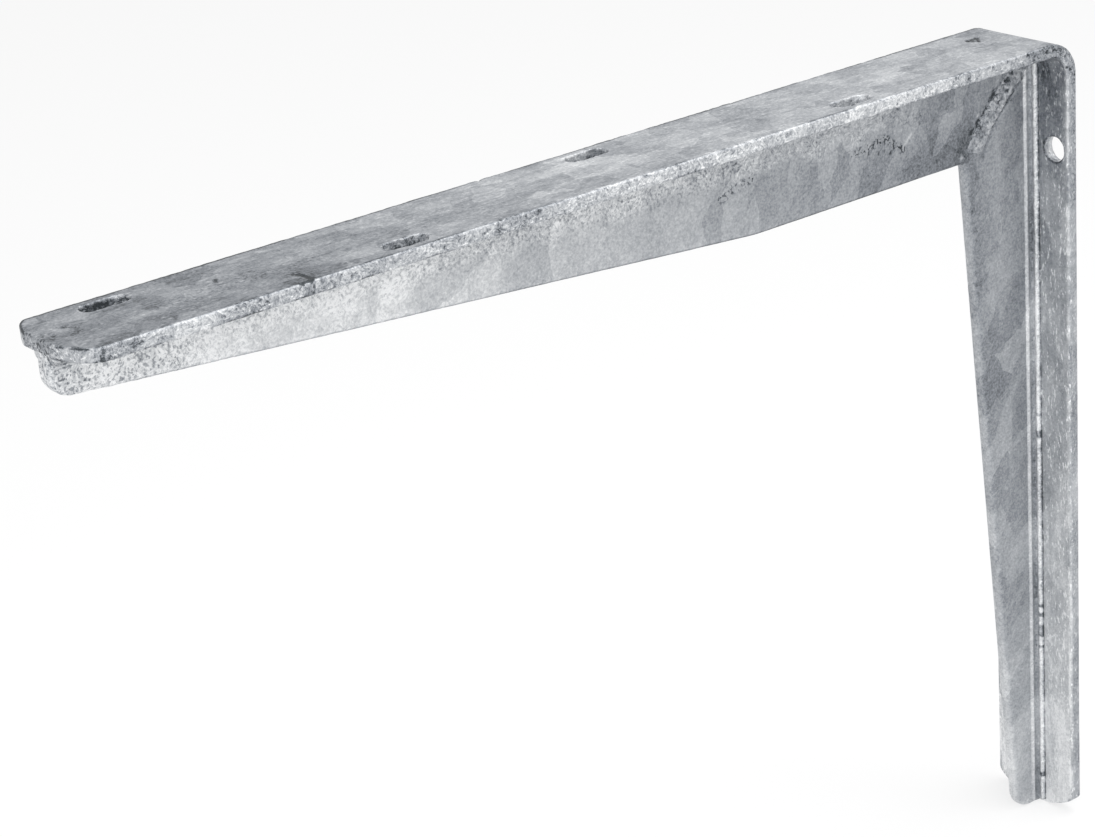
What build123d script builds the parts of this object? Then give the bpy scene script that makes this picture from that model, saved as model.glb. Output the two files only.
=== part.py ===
"""Heavy shelf bracket made from one length of rolled steel T section.

The web is notched at the corner, the flange is bent through a right angle, and the two
web ends meet on a mitre that is welded on both faces. The flange makes the shelf seat on
top of the arm and the wall seat behind the leg. Both webs taper towards rounded ends.

Frame: X runs out from the wall along the arm, Y across the bracket, Z up. The origin is
the middle of the wall face, halfway down the leg. All sizes are in millimetres.
"""
from build123d import *
import os
from math import atan2, degrees, hypot, pi, tan

# Overall sizes
arm_reach = 411.0
leg_drop = 318.0

# Rolled T section
flange_width = 40.0
flange_thickness = 5.0
web_thickness = 5.0
section_depth = 41.0
root_radius = 3.0
flange_edge_radius = 0.9
web_edge_radius = 1.4

# Bend at the top of the leg
bend_inner_radius = 8.0

# Web outline: the arm keeps its full depth near the corner and then tapers, the leg
# tapers all the way down
arm_full_depth_reach = 141.0
arm_tip_depth = 18.5
leg_corner_depth = 40.0
leg_toe_depth = 18.0
inner_corner_radius = 2.5
nose_radius = 8.0
toe_radius = 8.5
straight_beside_root = 0.3

# Flange corners cut off at the tip and at the foot: how long each cut is along the flange,
# how far from the centre plane it ends, and how far all of them bulge towards the corner
near_tip_cut = 9.0
near_tip_cut_end = 6.0
far_tip_cut = 6.0
far_tip_cut_end = 10.5
near_foot_cut = 7.3
near_foot_cut_end = 6.0
far_foot_cut = 6.8
far_foot_cut_end = 8.5
cut_bulge = 1.2

# Four shelf slots along the arm, on alternate sides of the web
slot_length = 16.5
slot_width = 7.0
slot_edge_distance = 7.5
slot_first_from_tip = 28.5
slot_steps = (91.4, 90.7, 95.8)

# Two punched wall holes, one on each side of the web
wall_hole_diameter = 9.6
wall_hole_edge_distance = 7.0
upper_hole_below_shelf = 42.0
lower_hole_above_foot = 42.0
break_out_depth = 2.0
break_out_widening = 0.8

# Weld bead along the mitre
bead_width = 8.0
bead_height = 1.0
bead_inset = 1.0

# Places worked out from the sizes above
shelf_z = leg_drop / 2
foot_z = shelf_z - leg_drop
seat_underside_z = shelf_z - flange_thickness
web_bottom_z = shelf_z - section_depth
half_web = web_thickness / 2
half_flange = flange_width / 2
bend_outer_radius = bend_inner_radius + flange_thickness
slot_side_offset = half_flange - slot_edge_distance
wall_hole_side_offset = half_flange - wall_hole_edge_distance
match = 0.01


def end_radius(radius, end_depth, full_depth, taper_length):
    """Limit the radius of a web's free end, so that a straight stretch stays beside the root."""
    slope = atan2(full_depth - end_depth, taper_length)
    wall = end_depth - flange_thickness - root_radius - straight_beside_root
    return min(radius, wall * tan((pi / 2 + slope) / 2))


def is_root_edge(edge):
    """Say whether an edge lies where a face of the web meets the inside of the flange."""
    spot = edge.center()
    on_web_face = abs(abs(spot.Y) - half_web) < match
    on_arm = abs(spot.Z - seat_underside_z) < match
    on_leg = abs(spot.X - flange_thickness) < match
    by_corner = spot.X < bend_outer_radius and spot.Z > shelf_z - bend_outer_radius
    in_bend = edge.geom_type == GeomType.CIRCLE and by_corner
    return on_web_face and (on_arm or on_leg or in_bend)


def is_flange_side_edge(edge):
    """Say whether an edge runs along one of the flange's two long sides."""
    return abs(abs(edge.center().Y) - half_flange) < match and edge.length > 2 * flange_thickness


def is_web_rim_edge(edge):
    """Say whether an edge bounds a face of the web on its free side, away from the flange."""
    spot = edge.center()
    on_web_face = abs(abs(spot.Y) - half_web) < match
    below_arm = spot.Z < seat_underside_z - root_radius
    ahead_of_leg = spot.X > flange_thickness + root_radius
    return on_web_face and below_arm and ahead_of_leg


def corner_points(end, side, cut, cut_end):
    """Give the start, crest and stop of the arc that rounds a flange corner, then the corner."""
    start = Vector(end - cut, side * half_flange)
    stop = Vector(end, side * cut_end)
    corner = Vector(end, side * half_flange)
    middle = (start + stop) / 2
    crest = middle + (corner - middle).normalized() * cut_bulge
    return start, crest, stop, corner


with BuildPart() as bracket:
    # Flange, bent at the top of the leg
    with BuildSketch(Plane.XZ):
        with BuildLine():
            Polyline(
                (0, foot_z),
                (0, shelf_z),
                (arm_reach, shelf_z),
                (arm_reach, seat_underside_z),
                (flange_thickness, seat_underside_z),
                (flange_thickness, foot_z),
                close=True,
            )
        make_face()
        fillet(vertices().sort_by_distance((0, shelf_z, 0))[0], bend_outer_radius)
        inner_bend = vertices().sort_by_distance((flange_thickness, seat_underside_z, 0))[0]
        fillet(inner_bend, bend_inner_radius)
    extrude(amount=half_flange, both=True)

    # Its corners at the tip and at the foot, cut from the shelf face and from the inside of
    # the leg, in planes whose x runs along the flange
    tip_plane = Plane.XY.offset(shelf_z)
    tip_cuts = ((1, near_tip_cut, near_tip_cut_end), (-1, far_tip_cut, far_tip_cut_end))
    foot_plane = Plane(origin=(flange_thickness, 0, 0), x_dir=(0, 0, -1), z_dir=(1, 0, 0))
    foot_cuts = ((1, near_foot_cut, near_foot_cut_end), (-1, far_foot_cut, far_foot_cut_end))
    for plane, end, cuts in ((tip_plane, arm_reach, tip_cuts), (foot_plane, -foot_z, foot_cuts)):
        with BuildSketch(plane):
            for side, cut, cut_end in cuts:
                start, crest, stop, corner = corner_points(end, side, cut, cut_end)
                with BuildLine():
                    ThreePointArc(start, crest, stop)
                    Polyline(stop, corner, start)
                make_face()
        extrude(amount=-flange_thickness, mode=Mode.SUBTRACT)

    # Web of the arm and of the leg in one outline, rooted inside the flange
    with BuildSketch(Plane.XZ):
        with BuildLine():
            Polyline(
                (flange_thickness / 2, foot_z),
                (flange_thickness / 2, shelf_z - flange_thickness / 2),
                (arm_reach, shelf_z - flange_thickness / 2),
                (arm_reach, shelf_z - arm_tip_depth),
                (arm_full_depth_reach, web_bottom_z),
                (leg_corner_depth, web_bottom_z),
                (leg_toe_depth, foot_z),
                close=True,
            )
        make_face()
        root_corner = (flange_thickness / 2, shelf_z - flange_thickness / 2, 0)
        fillet(vertices().sort_by_distance(root_corner)[0], bend_inner_radius + flange_thickness / 2)
        arm_taper = arm_reach - arm_full_depth_reach
        nose = end_radius(nose_radius, arm_tip_depth, section_depth, arm_taper)
        fillet(vertices().sort_by_distance((arm_reach, shelf_z - arm_tip_depth, 0))[0], nose)
        leg_taper = web_bottom_z - foot_z
        toe = end_radius(toe_radius, leg_toe_depth, leg_corner_depth, leg_taper)
        fillet(vertices().sort_by_distance((leg_toe_depth, foot_z, 0))[0], toe)
        inner_corner = vertices().sort_by_distance((leg_corner_depth, web_bottom_z, 0))[0]
        fillet(inner_corner, inner_corner_radius)
    extrude(amount=half_web, both=True)

    # Rolled radii: root of the web, rim of the web and long sides of the flange
    fillet(edges().filter_by(is_root_edge), root_radius)
    fillet(edges().filter_by(is_web_rim_edge), web_edge_radius)
    fillet(edges().filter_by(is_flange_side_edge), flange_edge_radius)

    # Weld bead along the mitre, proud of both faces of the web
    mitre_start = (leg_corner_depth + bead_inset, web_bottom_z + bead_inset)
    mitre_end = (flange_thickness, seat_underside_z)
    mitre_run = (mitre_end[0] - mitre_start[0], mitre_end[1] - mitre_start[1])
    bead_plane = Plane(
        origin=(mitre_start[0], 0, mitre_start[1]),
        x_dir=(0, 1, 0),
        z_dir=(mitre_run[0], 0, mitre_run[1]),
    )
    with BuildSketch(bead_plane):
        Ellipse(half_web + bead_height, bead_width / 2)
    extrude(amount=hypot(*mitre_run))

    # Shelf slots, counted from the tip, the first one on the far side
    slot_x = arm_reach - slot_first_from_tip
    slot_spots = [(slot_x, -slot_side_offset)]
    for number, step in enumerate(slot_steps):
        slot_x -= step
        side = 1 if number % 2 == 0 else -1
        slot_spots.append((slot_x, side * slot_side_offset))
    with BuildSketch(Plane.XY.offset(shelf_z)):
        with Locations(*slot_spots):
            SlotOverall(slot_length, slot_width)
    extrude(amount=-flange_thickness, mode=Mode.SUBTRACT)

    # Wall holes, punched from the front and wider where the metal broke out at the wall
    upper_hole = (wall_hole_side_offset, shelf_z - upper_hole_below_shelf)
    lower_hole = (-wall_hole_side_offset, foot_z + lower_hole_above_foot)
    with BuildSketch(Plane.YZ):
        with Locations(upper_hole, lower_hole):
            Circle(wall_hole_diameter / 2)
    extrude(amount=flange_thickness, mode=Mode.SUBTRACT)
    with BuildSketch(Plane.YZ):
        with Locations(upper_hole, lower_hole):
            Circle(wall_hole_diameter / 2 + break_out_widening)
    break_out_taper = degrees(atan2(break_out_widening, break_out_depth))
    extrude(amount=break_out_depth, taper=break_out_taper, mode=Mode.SUBTRACT)

bracket.part.label = "bracket"

os.makedirs("parts", exist_ok=True)
export_step(bracket.part, "parts/bracket.step")
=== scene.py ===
"""Galvanised shelf bracket: bent T section, welded corner, zinc skin, studio and camera.

Lengths are in millimetres until a surface becomes a mesh. The frame is the model's own: X out
from the wall, Y across the bracket, Z up, with the origin in the middle of the wall face.
Where a docstring doesn't say otherwise, points are an array of shape (n, 3), and what a
function gives for them has the shape (n,).
"""
import logging
from collections.abc import Callable, Iterable
from dataclasses import dataclass
from enum import Enum, IntEnum
from functools import partial

import bpy
import numpy as np
from mathutils import Matrix, Vector


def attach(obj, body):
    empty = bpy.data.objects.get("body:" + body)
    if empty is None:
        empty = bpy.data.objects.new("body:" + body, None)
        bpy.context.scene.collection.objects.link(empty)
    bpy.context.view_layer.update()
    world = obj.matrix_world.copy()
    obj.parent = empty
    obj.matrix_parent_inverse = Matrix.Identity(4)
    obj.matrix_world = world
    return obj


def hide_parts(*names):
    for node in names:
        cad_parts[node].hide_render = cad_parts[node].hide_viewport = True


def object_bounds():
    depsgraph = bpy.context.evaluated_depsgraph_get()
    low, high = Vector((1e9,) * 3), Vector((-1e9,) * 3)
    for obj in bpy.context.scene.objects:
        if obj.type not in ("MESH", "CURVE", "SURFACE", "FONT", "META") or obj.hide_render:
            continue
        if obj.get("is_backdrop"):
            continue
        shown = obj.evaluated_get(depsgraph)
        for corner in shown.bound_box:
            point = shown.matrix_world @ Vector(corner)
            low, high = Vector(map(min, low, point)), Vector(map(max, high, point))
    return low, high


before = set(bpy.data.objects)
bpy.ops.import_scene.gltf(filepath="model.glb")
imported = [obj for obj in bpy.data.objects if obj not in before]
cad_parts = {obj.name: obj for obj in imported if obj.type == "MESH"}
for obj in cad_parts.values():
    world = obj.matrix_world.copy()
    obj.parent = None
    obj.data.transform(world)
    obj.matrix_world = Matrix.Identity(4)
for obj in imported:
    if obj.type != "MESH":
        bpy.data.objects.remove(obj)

log = logging.getLogger("shelf_bracket")

MM = 0.001
PHOTO_WIDTH = 1095
WHITE = (1.0, 1.0, 1.0, 1.0)
QUARTER = np.pi / 2.0

# Steps per millimetre to which points are rounded before equal ones are welded
WELD_GRID = 2e4

# Factors and shifts that mix a lattice cell's three numbers and the seed into a random value
CELL_FACTORS = (73856093, 19349663, 83492791)
SEED_FACTOR = 2654435761
MIX_STEPS = ((13, 1274126177), (16, 668265263))
LAST_SHIFT = 15
ALL_BITS = 0xFFFFFFFF

BODY = "root"
NODE = "bracket"
ATTRIBUTES = ("crust", "tone", "pores")
PLACE_ATTRIBUTE = "strip"

Points = np.ndarray
Look = Callable[[Points], tuple[Points, Points]]
Spot = tuple[float, float, float]
Pairs = tuple[tuple[float, float], ...]
Stops = Pairs
Signal = bpy.types.NodeSocket | float


class Side(Enum):
    """The two sides of the bracket's centre plane."""

    NEAR = 1
    FAR = -1

    def ordered(self, inner: float, outer: float) -> tuple[float, float]:
        """Give two distances from the centre plane as signed places on this side, lowest first."""
        low, high = sorted((self.value * inner, self.value * outer))
        return low, high


class Seed(IntEnum):
    """Numbers that pick the fixed random patterns."""

    WAVES = 3
    LUMPS = 5
    GRIT = 8
    BEADS = 21
    SWAY = 23
    RIDGE_TONE = 24
    NOTCHES = 25
    NOTCH_GROUPS = 26
    WELD_LUMPS = 33
    RUNS = 41
    FLANGE_CRUST = 51
    FLANGE_TONE = 53
    BROKEN_LINE = 55
    RAGGED_EDGE = 56
    WELD_TONE = 57
    BELOW_FLANGE = 61
    WEB_CRUST = 62
    WEB_TONE = 63


def smooth_step(low: float, high: float, value: Points) -> Points:
    """Rise smoothly from 0 at low to 1 at high, as the cubic 3t^2 - 2t^3.

    Args:
        low: Value where the rise starts.
        high: Value where it ends.
        value: Values to look up.

    Returns:
        The share of the rise at each value.
    """
    t = np.clip((value - low) / (high - low), 0.0, 1.0)
    return t * t * (3.0 - 2.0 * t)


def bump_at(centre: float, width: float, value: Points) -> Points:
    """Give a bell of height 1 about centre: exp(-((value - centre) / width)^2)."""
    return np.exp(-(((value - centre) / width) ** 2))


def stops_at(stops: Stops, value: Points) -> Points:
    """Read a line of straight stretches through stops, each a place and its value."""
    places, values = zip(*stops)
    return np.interp(value, places, values)


def lattice_value(cell: Points, seed: int) -> Points:
    """Give a fixed random value for each lattice cell, by mixing its three whole numbers.

    Args:
        cell: Whole-number cells, shape (n, 3).
        seed: Number that picks one of many patterns.

    Returns:
        Values from -1 to 1.
    """
    x, y, z = (cell[:, k] * factor for k, factor in enumerate(CELL_FACTORS))
    mixed = x ^ y ^ z ^ seed * SEED_FACTOR
    for shift, factor in MIX_STEPS:
        mixed = (mixed ^ (mixed >> shift)) * factor & ALL_BITS
    return (mixed ^ (mixed >> LAST_SHIFT)) / 2.0**31 - 1.0


def noise(points: Points, size: float, seed: int) -> Points:
    """Give smooth noise: random corner values of a cubic lattice, blended by smooth steps.

    Args:
        points: Points to look up.
        size: Length of a lattice cell, in millimetres.
        seed: Number that picks one of many patterns.

    Returns:
        Noise from -1 to 1.
    """
    spot = points / size + 0.37 * seed
    base = np.floor(spot).astype(np.int64)
    share = spot - base
    share = share * share * (3.0 - 2.0 * share)
    total = np.zeros(len(points))
    for corner in np.ndindex(2, 2, 2):
        weight = np.prod(np.where(np.array(corner) == 1, share, 1.0 - share), axis=1)
        total += weight * lattice_value(base + np.array(corner), seed)
    return total


def cloud(points: Points, size: float, seed: int, octaves: int = 3) -> Points:
    """Add octaves of noise, each half the size and half the height of the last.

    Args:
        points: Points to look up.
        size: Cell of the coarsest octave, in millimetres.
        seed: Number that picks one of many patterns.
        octaves: How many layers are added.

    Returns:
        Noise from about -1 to 1.
    """
    total = np.zeros(len(points))
    for octave in range(octaves):
        total += noise(points, size / 2**octave, seed + 11 * octave) / 2**octave
    return total / (2.0 - 0.5 ** (octaves - 1))


@dataclass(frozen=True)
class Mark:
    """A place in the skin along a line from one point to another.

    Args:
        start: One end of its line, in millimetres.
        stop: Other end; the same point for a round spot.
        reach: Distance from the line at which it ends, in millimetres.
    """

    start: Spot
    stop: Spot
    reach: float

    def share(self, points: Points) -> Points:
        """Rate the nearness to the line, as exp(-(distance / reach)^4)."""
        start, run = np.array(self.start), np.subtract(self.stop, self.start)
        along = np.clip((points - start) @ run / max(run @ run, 1e-9), 0.0, 1.0)
        away = np.linalg.norm(points - start - along[:, None] * run, axis=1)
        return np.exp(-((away / self.reach) ** 4))


@dataclass(frozen=True)
class Dent(Mark):
    """A pit, nick or groove.

    Args:
        depth: Depth on the line, negative for a blob.
        stain: How much darker it is on the line, negative for a bright one.
    """

    depth: float
    stain: float


@dataclass(frozen=True)
class Rash(Mark):
    """A place where the zinc is pocked by fine dark pores.

    Args:
        strength: Strength of the pores on the line, from 0 to 1.
    """

    strength: float


@dataclass(frozen=True)
class Stroke:
    """A way along several points, turned into marks.

    Args:
        route: The points, in millimetres.
    """

    route: tuple[Spot, ...]

    def marks(self, kind: type[Mark], *sizes: float) -> tuple[Mark, ...]:
        """Follow the stroke by marks of one kind and size."""
        return tuple(kind(start, stop, *sizes) for start, stop in zip(self.route, self.route[1:]))

    def dents(self, reach: float, depth: float, stain: float) -> tuple[Dent, ...]:
        """Follow the stroke by a groove of one reach, depth and stain."""
        return self.marks(Dent, reach, depth, stain)

    def rashes(self, reach: float, strength: float) -> tuple[Rash, ...]:
        """Follow the stroke by pores of one reach and strength."""
        return self.marks(Rash, reach, strength)

    def pits(self, count: int, spread: float, seed: int) -> tuple[Dent, ...]:
        """Scatter round pits from the stroke's first point to its last.

        Args:
            count: How many pits.
            spread: How far they stray, along each axis.
            seed: Number that fixes the scatter.

        Returns:
            The pits.
        """
        random = np.random.default_rng(seed)
        first, last = np.array(self.route[0]), np.array(self.route[-1])
        share = random.uniform(0.0, 1.0, count)[:, None]
        spots = first + (last - first) * share + random.normal(0.0, spread, (count, 3))
        sizes = random.uniform(0.4, 0.8, count)
        stain = 0.45
        places = (tuple(spot) for spot in spots)
        return tuple(Dent(spot, spot, size, 0.5 * size, stain) for spot, size in zip(places, sizes))


class Shell:
    """A closed surface put together from grids whose shared borders are welded."""

    def __init__(self) -> None:
        """Start with no points and no faces."""
        self.points: list[Points] = []
        self.quads: list[Points] = []
        self.count = 0

    def add(self, grid: Points, keep: Points | None = None, wrap: bool = False) -> None:
        """Add a grid of quads.

        Args:
            grid: Points, shape (rows, columns, 3).
            keep: Which cells become faces, shape (rows - 1, columns or columns - 1).
            wrap: Join the last column to the first.
        """
        rows, columns = grid.shape[:2]
        index = np.arange(rows * columns).reshape(rows, columns) + self.count
        if wrap:
            index = np.hstack([index, index[:, :1]])
        cells = np.stack([index[:-1, :-1], index[1:, :-1], index[1:, 1:], index[:-1, 1:]], axis=-1)
        chosen = cells.reshape(-1, 4) if keep is None else cells[keep]
        self.points.append(grid.reshape(-1, 3))
        self.quads.append(chosen)
        self.count += rows * columns

    def welded(self) -> tuple[Points, Points]:
        """Join points that lie in one place and drop the unused ones.

        Returns:
            Points, shape (n, 3), and faces as corner numbers, shape (m, 4).
        """
        points = np.concatenate(self.points)
        quads = np.concatenate(self.quads)
        used = np.unique(quads)
        keys = np.round(points[used] * WELD_GRID).astype(np.int64)
        _, first, same = np.unique(keys, axis=0, return_index=True, return_inverse=True)
        lookup = np.zeros(len(points), dtype=np.int64)
        lookup[used] = same.reshape(-1)
        return points[used][first], lookup[quads]


def face_normals(points: Points, quads: Points) -> Points:
    """Give each face's normal times its area, from the cross product of its diagonals."""
    a, b, c, d = (points[quads[:, k]] for k in range(4))
    return np.cross(c - a, d - b)


def point_normals(points: Points, quads: Points) -> Points:
    """Give each point's unit normal, the sum of the area normals of the faces round it."""
    area = face_normals(points, quads)
    total = np.zeros_like(points)
    for k in range(4):
        for axis in range(3):
            total[:, axis] += np.bincount(quads[:, k], weights=area[:, axis], minlength=len(points))
    return total / np.maximum(np.linalg.norm(total, axis=1, keepdims=True), 1e-12)


def outward(points: Points, quads: Points) -> Points:
    """Turn all faces so that the enclosed volume, a sum of signed cones, is positive."""
    centre = points[quads].mean(axis=1)
    volume = (centre * face_normals(points, quads)).sum()
    return quads if volume > 0 else quads[:, ::-1]


def link_new(name: str, data: bpy.types.ID) -> bpy.types.Object:
    """Make an object of some data and link it to the scene."""
    made = bpy.data.objects.new(name, data)
    bpy.context.scene.collection.objects.link(made)
    return made


def make_object(name: str, points: Points, quads: Points) -> bpy.types.Object:
    """Make a smooth mesh object from whole arrays.

    Args:
        name: Name of the object and its mesh.
        points: Its points, in millimetres.
        quads: Faces as corner numbers, shape (m, 4); a corner used twice makes a triangle.

    Returns:
        The object, linked to the scene and placed by its mesh.
    """
    mesh = bpy.data.meshes.new(name)
    distinct = quads != np.roll(quads, 1, axis=1)
    sizes = distinct.sum(axis=1)
    solid = sizes >= 3
    distinct &= solid[:, None]
    corners = quads[distinct]
    sizes = sizes[solid]
    mesh.vertices.add(len(points))
    mesh.vertices.foreach_set("co", (points * MM).astype(np.float32).ravel())
    mesh.loops.add(len(corners))
    mesh.loops.foreach_set("vertex_index", corners.astype(np.int32))
    mesh.polygons.add(len(sizes))
    mesh.polygons.foreach_set("loop_start", (np.cumsum(sizes) - sizes).astype(np.int32))
    mesh.update(calc_edges=True)
    mesh.validate()
    mesh.shade_smooth()
    return link_new(name, mesh)


@dataclass(frozen=True)
class Course:
    """The line of the flange's outer face: along the arm, round the bend and down the leg.

    Args:
        reach: Arm length from the wall face to the tip.
        drop: Leg length from the shelf face to the foot.
        outer_radius: Radius of the bend's outer face.
    """

    reach: float
    drop: float
    outer_radius: float

    @property
    def arm(self) -> float:
        """Length of the straight arm part."""
        return self.reach - self.outer_radius

    @property
    def turn(self) -> float:
        """Length of the quarter circle of the bend."""
        return self.outer_radius * QUARTER

    @property
    def length(self) -> float:
        """Whole length from the tip to the foot."""
        return self.arm + self.turn + self.drop - self.outer_radius

    def along_leg(self, height: float) -> float:
        """Give the distance from the tip of a height on the leg."""
        return self.arm + self.turn + self.drop / 2.0 - self.outer_radius - height

    def place(self, along: Points, across: Points, depth: Points) -> Points:
        """Put path coordinates in space.

        On the straights the point moves with the path. In the bend it turns about the bend's
        centre at the outer radius less its depth.

        Args:
            along: Distance from the tip along the outer face.
            across: Distance from the centre plane.
            depth: Depth below the outer face.

        Returns:
            Points, shape (..., 3).
        """
        along, across, depth = np.broadcast_arrays(along, across, depth)
        angle = np.clip(along - self.arm, 0.0, self.turn) / self.outer_radius
        arm_left = np.maximum(self.arm - along, 0.0)
        leg_done = np.maximum(along - self.arm - self.turn, 0.0)
        arm_radius = self.outer_radius - depth
        x = self.outer_radius + arm_left - arm_radius * np.sin(angle)
        z = self.drop / 2.0 - self.outer_radius + arm_radius * np.cos(angle) - leg_done
        return np.stack([x, across, z], axis=-1)

    def locate(self, points: Points) -> Points:
        """Turn points in space into path coordinates, the reverse of place.

        In front of the bend's centre the diagonal parts the arm from the leg.

        Args:
            points: Points in space.

        Returns:
            Distance from the tip, distance across and depth, shape (n, 3).
        """
        out = points[:, 0] - self.outer_radius
        down = self.drop / 2.0 - self.outer_radius - points[:, 2]
        angle = np.arctan2(np.maximum(-out, 0.0), np.maximum(-down, 1e-9))
        in_bend = (out < 0.0) & (down < 0.0)
        on_arm = ~in_bend & (out > down)
        along = np.where(on_arm, self.arm - out, self.arm + self.turn + down)
        along = np.where(in_bend, self.arm + angle * self.outer_radius, along)
        depth = np.where(on_arm, down + self.outer_radius, points[:, 0])
        depth = np.where(in_bend, self.outer_radius - np.hypot(out, down), depth)
        return np.stack([along, points[:, 1], depth], axis=1)


@dataclass(frozen=True)
class Opening:
    """A hole through the flange, a slot or a round one, with rounded rims.

    Args:
        along: Centre, as distance from the tip along the course.
        across: Centre, as distance from the centre plane.
        length: Whole length along the course; equal to width for a round hole.
        width: Width across.
        outer_widening: How much wider the outer face's end is, all round.
        outer_depth: How deep that widening goes.
        margin: Width of the patch left round it for its rings, along the course.
        lines: Lowest and highest section line that the patch reaches, from the centre plane.
        rim: Rounding of its two rims.
        burr: Height of the zinc collar round its inner rim.
        jag: How far its walls stray, where zinc ran and froze.
        jag_size: Size of those runs.
        shade: Painted shade, how much darker the walls inside are; negative for walls painted brighter,
            as lit.
        crust: Roughness round it.
    """

    along: float
    across: float
    length: float
    width: float
    outer_widening: float
    outer_depth: float
    margin: float
    lines: tuple[float, float]
    rim: float = 0.45
    burr: float = 0.0
    jag: float = 0.0
    jag_size: float = 2.6
    shade: float = 0.0
    crust: float = 1.0

    def outline(self, from_centre: Points, radius: Points) -> Points:
        """Move points straight towards the slot's centre line until radius is left.

        Args:
            from_centre: Points (along, across) from the opening's centre, shape (n, 2).
            radius: Distance to keep from the centre line.

        Returns:
            Points on the outline, shape (n, 2).
        """
        half_line = (self.length - self.width) / 2.0
        core = from_centre * [1.0, 0.0]
        core[:, 0] = np.clip(core[:, 0], -half_line, half_line)
        away = from_centre - core
        return core + away * radius / np.linalg.norm(away, axis=1, keepdims=True)

    def rings(self, course: Course, border: Points, top: float, bottom: float) -> Points:
        """Carry the patch's border down through the opening and out to the other face.

        Args:
            course: Line of the flange.
            border: The patch's border in path coordinates, shape (n, 2).
            top: Depth of the outer face.
            bottom: Depth of the inner face.

        Returns:
            Rings of points from the outer to the inner border, shape (rings, n, 3).
        """
        centred = border - np.array([self.along, self.across])
        radius = self.width / 2.0
        turn = np.linspace(0.0, QUARTER, 4)
        spread = 1.0 - np.array([0.0, 0.3, 0.55, 0.76, 0.9])
        walls = np.linspace(top + self.rim, bottom - self.rim, 9)
        wider = self.outer_widening * (1.0 - smooth_step(0.0, self.outer_depth, walls))
        steps: list[tuple[float, float, float]] = []
        lip = self.outer_widening + self.rim
        steps += [(share, lip, top) for share in spread]
        steps += [(0.0, lip - self.rim * np.sin(a), top + self.rim * (1.0 - np.cos(a))) for a in turn[:-1]]
        steps += [(0.0, more, depth) for more, depth in zip(wider, walls)]
        steps += [
            (0.0, self.rim * (1.0 - np.cos(a)), bottom - self.rim * (1.0 - np.sin(a))) for a in turn[1:]
        ]
        steps += [(share, self.rim, bottom + self.burr * (1.0 - share) ** 6) for share in spread[::-1]]
        grid = []
        for share, extra, depth in steps:
            nominal = self.outline(centred, radius)
            wall = np.column_stack([nominal, np.full(len(nominal), depth)])
            stray = self.jag * (1.0 - share) * cloud(wall + self.along, self.jag_size, Seed.RUNS, 2)
            inner = self.outline(centred, (radius + extra + stray)[:, None])
            spot = inner + (centred - inner) * share
            grid.append(course.place(spot[:, 0] + self.along, spot[:, 1] + self.across, depth))
        return np.stack(grid)


@dataclass
class ZincSkin:
    """Unevenness of the zinc: soft waves on the faces, lumps, grit and pits on rough edges.

    Args:
        wave_size: Size of the soft waves, in millimetres, and wave_height their height.
        lump_size: Size of the lumps on crusted places, and lump_height their height.
        grit_size: Size of the grit there, and grit_height its height.
        pit_share: Share of the grit's height above which it turns into a pit, and pit_depth how
            deep the pit is for what lies above that share.
        dents: Single pits, nicks, grooves and blobs.
        rashes: Places with fine pores.
    """

    wave_size: float = 16.0
    wave_height: float = 0.05
    lump_size: float = 4.6
    lump_height: float = 0.17
    grit_size: float = 1.7
    grit_height: float = 0.16
    pit_share: float = 0.42
    pit_depth: float = 0.6
    dents: tuple[Dent, ...] = ()
    rashes: tuple[Rash, ...] = ()

    def relief(self, points: Points, crust: Points) -> tuple[Points, Points]:
        """Work out how far each point moves along its normal, and how much darker it is.

        Waves everywhere, plus crust times lumps, grit and the pits where the grit's noise is
        highest, less the dents.

        Args:
            points: Points to look up.
            crust: Roughness of the place, from 0 to 1.

        Returns:
            Heights, and stains from 0 to 1.
        """
        grit = cloud(points, self.grit_size, Seed.GRIT, 2)
        pits = crust * np.maximum(grit - self.pit_share, 0.0)
        height = self.wave_height * cloud(points, self.wave_size, Seed.WAVES)
        height += crust * self.lump_height * cloud(points, self.lump_size, Seed.LUMPS)
        height += crust * self.grit_height * grit - self.pit_depth * pits
        stain = 0.5 * pits
        for dent in self.dents:
            share = dent.share(points)
            height -= dent.depth * share
            stain += dent.stain * share
        return height, stain

    def pores(self, points: Points) -> Points:
        """Give the strength of the fine pores at each point, from 0 to 1."""
        strength = np.zeros(len(points))
        for rash in self.rashes:
            strength = np.maximum(strength, rash.strength * rash.share(points))
        return strength


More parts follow.
